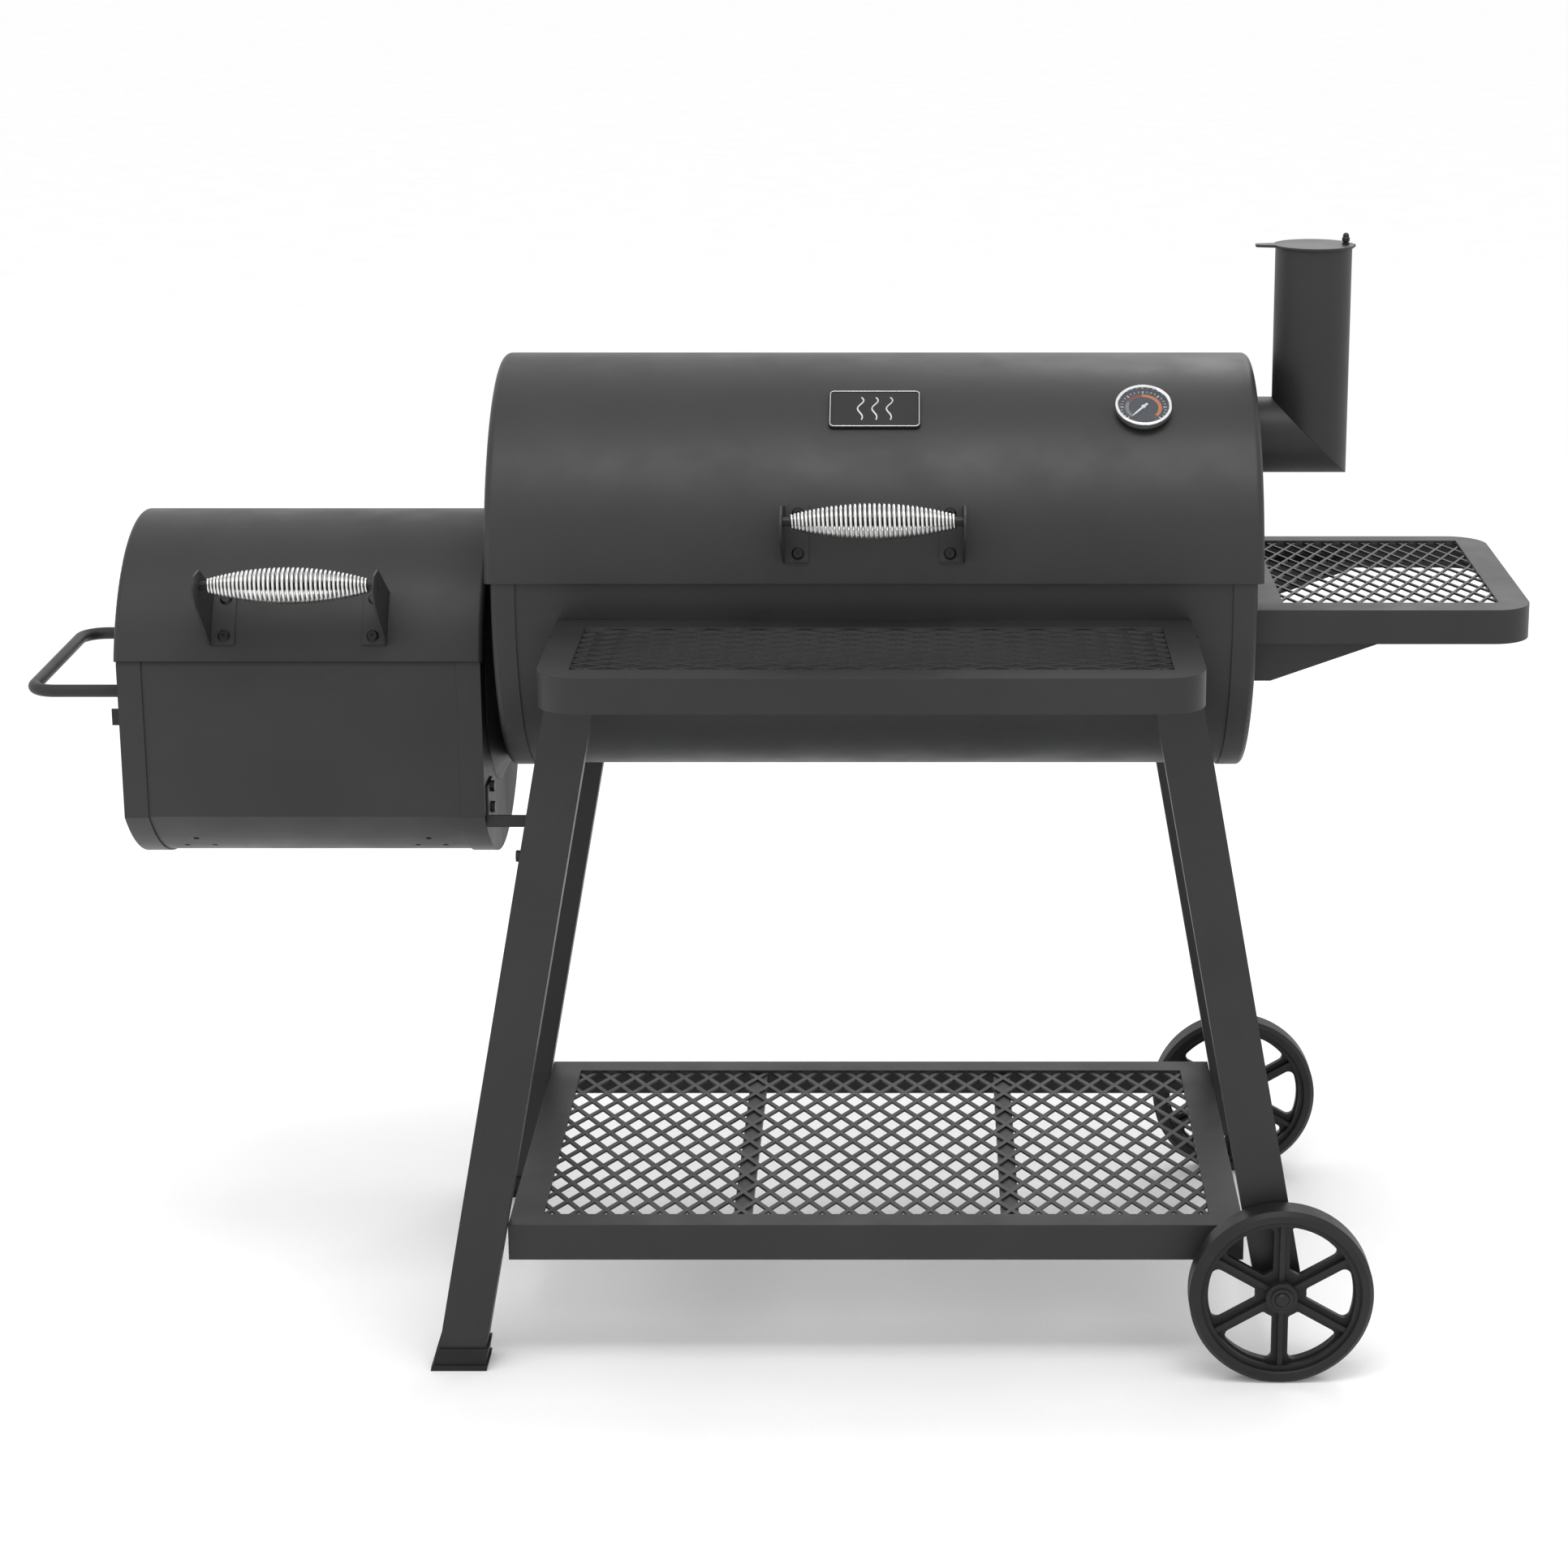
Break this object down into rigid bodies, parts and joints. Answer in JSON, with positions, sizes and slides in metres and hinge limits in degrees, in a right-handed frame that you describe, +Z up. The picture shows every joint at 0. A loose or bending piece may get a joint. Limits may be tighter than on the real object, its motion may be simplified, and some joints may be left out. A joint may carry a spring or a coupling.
{
  "type": "offset smoker",
  "caption": "Offset smoker: horizontal barrel cooker with hinged lid and a side firebox, chimney, wire-coil handles and mesh shelves on a leaning-leg cart with wheels.",
  "frame": {"origin": "centre of the bounding box, on the floor the feet and wheels stand on", "axes": "+X along the barrel towards the chimney and side shelf, +Y to the rear, +Z up"},
  "size_m": [1.798, 0.903, 1.347],
  "materials": {
    "powder_coat": "satin fine-textured charcoal black",
    "powder_coat_frame": "satin fine-textured charcoal black",
    "mesh_coat": "satin black on expanded metal",
    "sprung_wire": "bright nickel plate",
    "bezel_chrome": "polished",
    "dark_bolt": "black oxide",
    "hinge_steel": "zinc plated",
    "grate_iron": "porcelain-coated wire, seasoned",
    "dial_face": "matt dark blue with colour arcs",
    "needle_white": "gloss",
    "gauge_glass": "clear",
    "plaque": "gloss black with bright border",
    "wheel_plastic": "moulded",
    "foot_rubber": "moulded"
  },
  "bodies": {
    "chassis": {"cook_chamber_wrap": "powder_coat", "cook_chamber_left_end": "powder_coat", "cook_chamber_right_end": "powder_coat", "cook_chamber_hinge_leaves": "powder_coat", "firebox_hinge_leaves": "powder_coat", "lid_hinge_pins": "hinge_steel", "grate_ledges": "grate_iron", "charcoal_grate_ledges": "grate_iron", "stack_stub": "powder_coat_frame", "stack_pipe": "powder_coat_frame", "stack_cap_bolt": "dark_bolt", "firebox_wrap": "powder_coat", "firebox_left_end": "powder_coat", "firebox_right_end": "powder_coat", "firebox_collar": "powder_coat", "ash_door_hinge": "powder_coat", "cart_handle": "powder_coat_frame", "front_left_leg": "powder_coat_frame", "rear_left_leg": "powder_coat_frame", "front_right_leg": "powder_coat_frame", "rear_right_leg": "powder_coat_frame", "foot_caps": "foot_rubber", "axle": "hinge_steel", "axle_caps": "dark_bolt", "front_shelf_frame": "powder_coat_frame", "front_shelf_mesh": "mesh_coat", "side_shelf_frame": "powder_coat_frame", "side_shelf_mesh": "mesh_coat", "side_shelf_gussets": "powder_coat_frame", "lower_shelf_frame": "powder_coat_frame", "lower_shelf_mesh": "mesh_coat", "firebox_struts": "powder_coat_frame", "frame_bolts": "dark_bolt"},
    "cook_lid": {"cook_lid": "powder_coat", "cook_lid_handle_brackets": "powder_coat", "cook_lid_handle_rod": "dark_bolt", "cook_lid_handle_coil": "sprung_wire", "cook_lid_handle_bolts": "dark_bolt", "cook_lid_hinge_leaves": "powder_coat", "thermometer_case": "bezel_chrome", "thermometer_dial": "dial_face", "thermometer_glass": "gauge_glass", "nameplate": "plaque"},
    "thermometer_needle": {"thermometer_needle": "needle_white"},
    "firebox_lid": {"firebox_lid": "powder_coat", "firebox_lid_handle_brackets": "powder_coat", "firebox_lid_handle_rod": "dark_bolt", "firebox_lid_handle_coil": "sprung_wire", "firebox_lid_handle_bolts": "dark_bolt", "firebox_lid_hinge_leaves": "powder_coat"},
    "stack_cap": {"stack_cap": "powder_coat_frame"},
    "ash_door": {"ash_door": "powder_coat", "air_damper_rivet": "dark_bolt"},
    "ash_door_latch": {"ash_door_latch": "powder_coat"},
    "air_damper": {"air_damper": "powder_coat"},
    "front_wheel": {"front_wheel": "wheel_plastic"},
    "rear_wheel": {"rear_wheel": "wheel_plastic"},
    "cooking_grate_left": {"cooking_grate_left": "grate_iron"},
    "cooking_grate_right": {"cooking_grate_right": "grate_iron"},
    "charcoal_grate": {"charcoal_grate": "grate_iron"}
  },
  "joints": [
    {"name": "cook_lid_hinge", "type": "hinge", "parent": "chassis", "child": "cook_lid", "pos_m": [0.123, 0.30653, 1.05943], "axis": [-1, 0, 0], "range_deg": [0, 95]},
    {"name": "firebox_lid_hinge", "type": "hinge", "parent": "chassis", "child": "firebox_lid", "pos_m": [-0.5603, 0.27084, 0.86553], "axis": [-1, 0, 0], "range_deg": [0, 95]},
    {"name": "stack_cap_swivel", "type": "hinge", "parent": "chassis", "child": "stack_cap", "pos_m": [0.688, 0.0715, 1.331], "axis": [0, 0, 1], "range_deg": [-120, 120]},
    {"name": "ash_door_hinge", "type": "hinge", "parent": "chassis", "child": "ash_door", "pos_m": [-0.7808, 0.1775, 0.706], "axis": [0, 0, -1], "range_deg": [0, 115]},
    {"name": "ash_door_latch_turn", "type": "hinge", "parent": "chassis", "child": "ash_door_latch", "pos_m": [-0.7815, -0.0445, 0.773], "axis": [1, 0, 0], "range_deg": [0, 90]},
    {"name": "air_damper_turn", "type": "hinge", "parent": "ash_door", "child": "air_damper", "pos_m": [-0.7815, 0.0715, 0.706], "axis": [1, 0, 0], "range_deg": [0, 45]},
    {"name": "thermometer_needle_turn", "type": "hinge", "parent": "cook_lid", "child": "thermometer_needle", "pos_m": [0.4386, -0.072, 1.15438], "axis": [0, 0.565, -0.8251], "range_deg": [0, 264]},
    {"name": "front_wheel_spin", "type": "hinge", "parent": "chassis", "child": "front_wheel", "pos_m": [0.6102, -0.2385, 0.11085], "axis": [0, 1, 0], "continuous": true},
    {"name": "rear_wheel_spin", "type": "hinge", "parent": "chassis", "child": "rear_wheel", "pos_m": [0.6102, 0.4245, 0.11085], "axis": [0, 1, 0], "continuous": true},
    {"name": "cooking_grate_left_lift", "type": "slide", "parent": "chassis", "child": "cooking_grate_left", "axis": [0, 0, 1], "range_m": [0, 0.06]},
    {"name": "cooking_grate_right_lift", "type": "slide", "parent": "chassis", "child": "cooking_grate_right", "axis": [0, 0, 1], "range_m": [0, 0.06]},
    {"name": "charcoal_grate_lift", "type": "slide", "parent": "chassis", "child": "charcoal_grate", "axis": [0, 0, 1], "range_m": [0, 0.06]}
  ]
}
